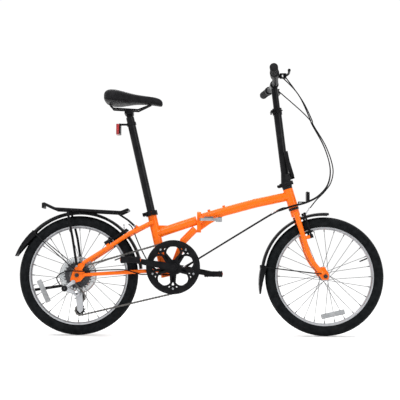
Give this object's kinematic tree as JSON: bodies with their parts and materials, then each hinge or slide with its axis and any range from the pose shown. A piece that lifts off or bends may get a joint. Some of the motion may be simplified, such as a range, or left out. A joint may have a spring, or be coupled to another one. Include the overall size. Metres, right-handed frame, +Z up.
{
  "type": "folding bicycle",
  "caption": "Folding bicycle with small wheels, hinged main tube, folding handlepost, telescoping seatpost, rim brakes, mudguards and rear rack.",
  "frame": {"origin": "on the ground, midway along the bicycle's length and width", "axes": "+X forward, +Y to the rider's left, +Z up"},
  "size_m": [1.5278, 0.584, 1.0786],
  "materials": {
    "orange_paint": "glossy orange enamel over aluminium",
    "black_metal": "satin black anodised",
    "silver_alloy": "machined",
    "bright_steel": "bright",
    "tyre_rubber": "matte",
    "grip_rubber": "matte",
    "black_plastic": "satin",
    "saddle_cover": "grained",
    "red_plastic": "prismatic",
    "cable_cover": "gloss"
  },
  "bodies": {
    "rear_frame": {"rear_frame": "orange_paint", "bottom_bracket": "silver_alloy", "seat_clamp": "black_metal", "rear_rack": "black_metal", "rear_fender": "black_plastic", "rear_axle_set": "bright_steel", "frame_hinge_pin": "bright_steel", "chain": "bright_steel", "derailleur": "silver_alloy"},
    "front_frame": {"front_frame": "orange_paint", "headset": "black_metal", "front_reflector": "black_plastic", "tension_cable": "cable_cover", "control_cables": "cable_cover"},
    "frame_latch_lever": {"frame_latch_lever": "silver_alloy"},
    "frame_safety_catch": {"frame_safety_catch": "silver_alloy"},
    "fork": {"fork": "orange_paint", "front_fender": "black_plastic", "front_axle_set": "bright_steel", "handlepost_base": "black_metal"},
    "handlepost": {"handlepost": "black_metal"},
    "handlepost_latch": {"handlepost_latch": "black_metal"},
    "telescope_lever": {"telescope_lever": "black_metal"},
    "handlebar": {"handlebar_stem": "black_metal", "handlebar": "black_metal", "grips": "grip_rubber", "brake_lever_brackets": "black_metal", "handlebar_cables": "cable_cover"},
    "right_brake_lever": {"right_brake_lever": "black_metal"},
    "left_brake_lever": {"left_brake_lever": "black_metal"},
    "twist_shifter": {"twist_shifter": "black_plastic"},
    "seatpost": {"seatpost": "black_metal", "saddle_clamp": "bright_steel", "saddle": "saddle_cover", "rear_reflector": "red_plastic"},
    "seat_clamp_lever": {"seat_clamp_lever": "black_metal"},
    "rear_wheel": {"rear_tyre": "tyre_rubber", "rear_rim": "silver_alloy", "rear_spokes": "bright_steel", "rear_hub": "silver_alloy"},
    "front_wheel": {"front_tyre": "tyre_rubber", "front_rim": "silver_alloy", "front_spokes": "bright_steel", "front_hub": "silver_alloy"},
    "crank": {"crank_arms": "black_metal", "chainring": "bright_steel", "chain_guard": "black_plastic"},
    "freewheel": {"freewheel": "bright_steel"},
    "derailleur_cage": {"derailleur_cage": "bright_steel"},
    "guide_pulley": {"guide_pulley": "black_plastic"},
    "tension_pulley": {"tension_pulley": "black_plastic"},
    "right_pedal_knuckle": {"right_pedal_knuckle": "black_metal"},
    "right_pedal": {"right_pedal": "black_plastic"},
    "left_pedal_knuckle": {"left_pedal_knuckle": "black_metal"},
    "left_pedal": {"left_pedal": "black_plastic"},
    "kickstand": {"kickstand": "black_metal"},
    "front_left_brake_arm": {"front_left_brake_arm": "black_metal"},
    "front_right_brake_arm": {"front_right_brake_arm": "black_metal"},
    "rear_left_brake_arm": {"rear_left_brake_arm": "black_metal"},
    "rear_right_brake_arm": {"rear_right_brake_arm": "black_metal"}
  },
  "joints": [
    {"name": "frame_fold", "type": "hinge", "parent": "rear_frame", "child": "front_frame", "pos_m": [-0.0035, 0.032, 0.469], "axis": [0, 0, -1], "range_deg": [-170, 0], "deforming": ["tension_cable"]},
    {"name": "frame_latch", "type": "hinge", "parent": "front_frame", "child": "frame_latch_lever", "pos_m": [0.0055, -0.037, 0.478], "axis": [0, 0, -1], "range_deg": [0, 110]},
    {"name": "safety_catch", "type": "hinge", "parent": "frame_latch_lever", "child": "frame_safety_catch", "pos_m": [0.0495, -0.039, 0.486], "axis": [0, 0, 1], "range_deg": [0, 80]},
    {"name": "steering", "type": "hinge", "parent": "front_frame", "child": "fork", "pos_m": [0.36101, 0, 0.63009], "axis": [-0.2874, 0, 0.9578], "range_deg": [-180, 180], "deforming": ["control_cables"]},
    {"name": "handlepost_fold", "type": "hinge", "parent": "fork", "child": "handlepost", "pos_m": [0.34204, 0.0198, 0.6244], "axis": [0.6773, 0.7071, 0.2032], "range_deg": [-180, 0]},
    {"name": "handlepost_latch", "type": "hinge", "parent": "handlepost", "child": "handlepost_latch", "pos_m": [0.37599, -0.02404, 0.66381], "axis": [0.6773, 0.7071, 0.2032], "range_deg": [0, 110]},
    {"name": "telescope_lever", "type": "hinge", "parent": "handlepost", "child": "telescope_lever", "pos_m": [0.30871, -0.028, 0.93297], "axis": [-0.1219, 0, 0.9925], "range_deg": [0, 100]},
    {"name": "handlebar_height", "type": "slide", "parent": "handlepost", "child": "handlebar", "axis": [-0.1219, 0, 0.9925], "range_m": [-0.08, 0.03], "deforming": ["handlebar_cables"]},
    {"name": "right_brake_lever", "type": "hinge", "parent": "handlebar", "child": "right_brake_lever", "pos_m": [0.33853, -0.16, 1.05644], "axis": [0, 0, -1], "range_deg": [0, 18], "stiffness_Nm_per_rad": 1},
    {"name": "left_brake_lever", "type": "hinge", "parent": "handlebar", "child": "left_brake_lever", "pos_m": [0.33853, 0.16, 1.05644], "axis": [0, 0, 1], "range_deg": [0, 18], "stiffness_Nm_per_rad": 1},
    {"name": "shifter_twist", "type": "hinge", "parent": "handlebar", "child": "twist_shifter", "pos_m": [0.29706, -0.19, 1.05774], "axis": [-0.1151, -0.9924, 0.0431], "range_deg": [-75, 0]},
    {"name": "seatpost_height", "type": "slide", "parent": "rear_frame", "child": "seatpost", "axis": [-0.2284, 0, 0.9736], "range_m": [-0.3, 0.03]},
    {"name": "seat_clamp_lever", "type": "hinge", "parent": "rear_frame", "child": "seat_clamp_lever", "pos_m": [-0.2298, -0.031, 0.49638], "axis": [-0.2284, 0, 0.9736], "range_deg": [0, 90]},
    {"name": "rear_wheel", "type": "hinge", "parent": "rear_frame", "child": "rear_wheel", "pos_m": [-0.501, 0, 0.246], "axis": [0, 1, 0], "continuous": true},
    {"name": "front_wheel", "type": "hinge", "parent": "fork", "child": "front_wheel", "pos_m": [0.518, 0, 0.246], "axis": [0, 1, 0], "continuous": true},
    {"name": "crank", "type": "hinge", "parent": "rear_frame", "child": "crank", "pos_m": [-0.109, 0, 0.281], "axis": [0, 1, 0], "continuous": true, "deforming": ["chain"]},
    {"name": "freewheel", "type": "hinge", "parent": "rear_frame", "child": "freewheel", "pos_m": [-0.501, 0, 0.246], "axis": [0, 1, 0], "continuous": true},
    {"name": "cage_swing", "type": "hinge", "parent": "rear_frame", "child": "derailleur_cage", "pos_m": [-0.498, -0.063, 0.172], "axis": [0, 1, 0], "range_deg": [-30, 8], "stiffness_Nm_per_rad": 1.5},
    {"name": "guide_pulley", "type": "hinge", "parent": "derailleur_cage", "child": "guide_pulley", "pos_m": [-0.488, -0.0565, 0.158], "axis": [0, 1, 0], "continuous": true},
    {"name": "tension_pulley", "type": "hinge", "parent": "derailleur_cage", "child": "tension_pulley", "pos_m": [-0.486, -0.0565, 0.104], "axis": [0, 1, 0], "continuous": true},
    {"name": "right_pedal_spin", "type": "hinge", "parent": "crank", "child": "right_pedal_knuckle", "pos_m": [-0.27667, -0.072, 0.30906], "axis": [0, 1, 0], "continuous": true},
    {"name": "right_pedal_fold", "type": "hinge", "parent": "right_pedal_knuckle", "child": "right_pedal", "pos_m": [-0.27667, -0.09, 0.30906], "axis": [1, 0, 0], "range_deg": [-90, 0]},
    {"name": "left_pedal_spin", "type": "hinge", "parent": "crank", "child": "left_pedal_knuckle", "pos_m": [0.05867, 0.072, 0.25294], "axis": [0, 1, 0], "continuous": true},
    {"name": "left_pedal_fold", "type": "hinge", "parent": "left_pedal_knuckle", "child": "left_pedal", "pos_m": [0.05867, 0.09, 0.25294], "axis": [-1, 0, 0], "range_deg": [-90, 0]},
    {"name": "kickstand", "type": "hinge", "parent": "rear_frame", "child": "kickstand", "pos_m": [-0.482, 0.084, 0.216], "axis": [0.2588, -0.9659, 0], "range_deg": [0, 105]},
    {"name": "front_left_brake_arm", "type": "hinge", "parent": "fork", "child": "front_left_brake_arm", "pos_m": [0.45478, 0.04, 0.40974], "axis": [0.9578, 0, 0.2874], "range_deg": [-6, 3], "stiffness_Nm_per_rad": 2},
    {"name": "rear_left_brake_arm", "type": "hinge", "parent": "rear_frame", "child": "rear_left_brake_arm", "pos_m": [-0.38232, 0.04, 0.3751], "axis": [0.5519, 0, -0.8339], "range_deg": [-6, 3], "stiffness_Nm_per_rad": 2},
    {"name": "front_right_brake_arm", "type": "hinge", "parent": "fork", "child": "front_right_brake_arm", "pos_m": [0.45478, -0.04, 0.40974], "axis": [-0.9578, 0, -0.2874], "range_deg": [-6, 3], "stiffness_Nm_per_rad": 2},
    {"name": "rear_right_brake_arm", "type": "hinge", "parent": "rear_frame", "child": "rear_right_brake_arm", "pos_m": [-0.38232, -0.04, 0.3751], "axis": [-0.5519, 0, 0.8339], "range_deg": [-6, 3], "stiffness_Nm_per_rad": 2}
  ],
  "couplings": [
    {"joint": "freewheel", "follows": "crank", "ratio": 3.7143}
  ]
}
